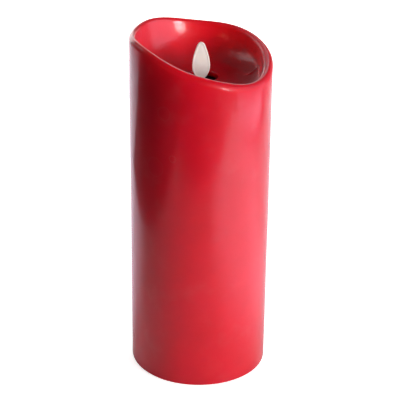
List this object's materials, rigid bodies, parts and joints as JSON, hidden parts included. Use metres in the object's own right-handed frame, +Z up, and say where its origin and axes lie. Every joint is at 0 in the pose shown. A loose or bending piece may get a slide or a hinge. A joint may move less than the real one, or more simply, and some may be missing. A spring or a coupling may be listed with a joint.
{
  "type": "flameless led candle",
  "caption": "Battery pillar candle with a sloping melted rim, a red wax body and a thin plastic flame that sways over a hole in its bowl.",
  "frame": {"origin": "centre of the base, on the surface that the candle stands on", "axes": "+Z up along the pillar, -Y the front, +X to the right as seen from the front"},
  "size_m": [0.0888, 0.0888, 0.2246],
  "materials": {
    "red_wax": "satin",
    "ivory_flame": "satin",
    "magnet_nickel": "polished",
    "steel_wire": "satin",
    "black_liner": "matte",
    "black_base": "matte",
    "black_door": "matte",
    "door_contact_nickel": "polished",
    "spring_steel": "polished",
    "cell_jacket": "satin",
    "carrier_black": "matte",
    "screw_steel": "satin",
    "contact_nickel": "polished",
    "slider_plastic": "satin",
    "lever_plastic": "gloss",
    "switch_can": "satin",
    "bobbin_plastic": "satin",
    "copper_enamel": "gloss",
    "lead_copper": "gloss",
    "housing_black": "matte",
    "led_clear": "gloss",
    "leg_tin": "polished",
    "board_green": "gloss",
    "chip_black": "matte",
    "capacitor_can": "gloss",
    "choke_ferrite": "matte",
    "resistor_ceramic": "satin",
    "lead_yellow": "gloss",
    "lead_red": "gloss",
    "lead_black": "gloss"
  },
  "bodies": {
    "candle_body": {"wax_shell": "red_wax", "liner_tube": "black_liner", "base_housing": "black_base", "cell_left": "cell_jacket", "cell_right": "cell_jacket", "contact_carrier": "carrier_black", "carrier_screws": "screw_steel", "positive_contact": "contact_nickel", "negative_contact": "contact_nickel", "negative_spring": "spring_steel", "switch_body": "switch_can", "switch_screws": "screw_steel", "coil_bobbin": "bobbin_plastic", "coil_winding": "copper_enamel", "coil_leads": "lead_copper", "lamp_housing_front": "housing_black", "lamp_housing_rear": "housing_black", "joint_screws": "screw_steel", "mount_screws": "screw_steel", "led_lamp": "led_clear", "led_legs": "leg_tin", "control_board": "board_green", "board_screws": "screw_steel", "board_chip": "chip_black", "board_capacitors": "capacitor_can", "board_choke": "choke_ferrite", "board_resistors": "resistor_ceramic", "switch_leads": "lead_yellow", "battery_lead_plus": "lead_red", "battery_lead_minus": "lead_black"},
    "pivot_wire": {"pivot_wire": "steel_wire"},
    "flame": {"flame_paddle": "ivory_flame", "flame_magnet": "magnet_nickel"},
    "switch": {"switch_slider": "slider_plastic", "switch_lever": "lever_plastic"},
    "battery_door": {"battery_door": "black_door", "door_contact": "door_contact_nickel", "door_spring": "spring_steel"}
  },
  "joints": [
    {"name": "flame_nod", "type": "hinge", "parent": "candle_body", "child": "pivot_wire", "pos_m": [0, 0, 0.184], "axis": [1, 0, 0], "range_deg": [-4, 4]},
    {"name": "flame_sway", "type": "hinge", "parent": "pivot_wire", "child": "flame", "pos_m": [0, 0, 0.184], "axis": [0, 1, 0], "range_deg": [-8, 8]},
    {"name": "switch_slide", "type": "slide", "parent": "candle_body", "child": "switch", "axis": [1, 0, 0], "range_m": [-0.002, 0.002]},
    {"name": "battery_door_hinge", "type": "hinge", "parent": "candle_body", "child": "battery_door", "pos_m": [0, 0.0175, 0.0013], "axis": [1, 0, 0], "range_deg": [0, 80]}
  ]
}
